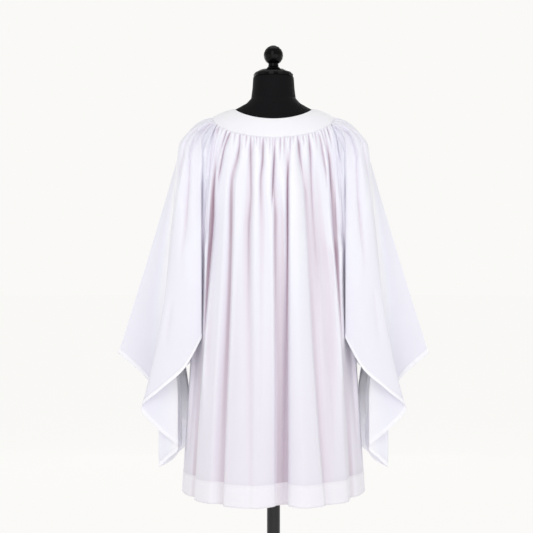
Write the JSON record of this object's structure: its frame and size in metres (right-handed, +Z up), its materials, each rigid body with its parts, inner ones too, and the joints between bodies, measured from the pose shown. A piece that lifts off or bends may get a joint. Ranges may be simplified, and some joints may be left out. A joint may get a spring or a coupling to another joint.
{
  "type": "gathered surplice on a dress form",
  "caption": "White gathered church surplice with a plain round yoke and long pointed wing sleeves, worn by a limbless black dress form on a pole and round base.",
  "frame": {"origin": "centre of the stand base's underside, on the floor", "axes": "+Z up; -Y is the way the garment's back faces, which is the side in the picture; +X is to the right as seen from the back"},
  "size_m": [0.834, 0.521, 1.6058],
  "materials": {
    "white_cloth": "thin cool white plain-weave cotton and polyester, matte, slightly translucent",
    "matte_black": "matte black flocked shell",
    "gloss_black": "polished black lacquer",
    "black_steel": "satin black powder coat"
  },
  "bodies": {
    "root": {"yoke": "white_cloth", "body_back": "white_cloth", "body_front": "white_cloth", "sleeve_left": "white_cloth", "sleeve_right": "white_cloth", "form_torso": "matte_black", "form_neck_cap": "gloss_black", "form_finial": "gloss_black", "stand_pole": "black_steel", "stand_base": "black_steel"}
  },
  "joints": []
}
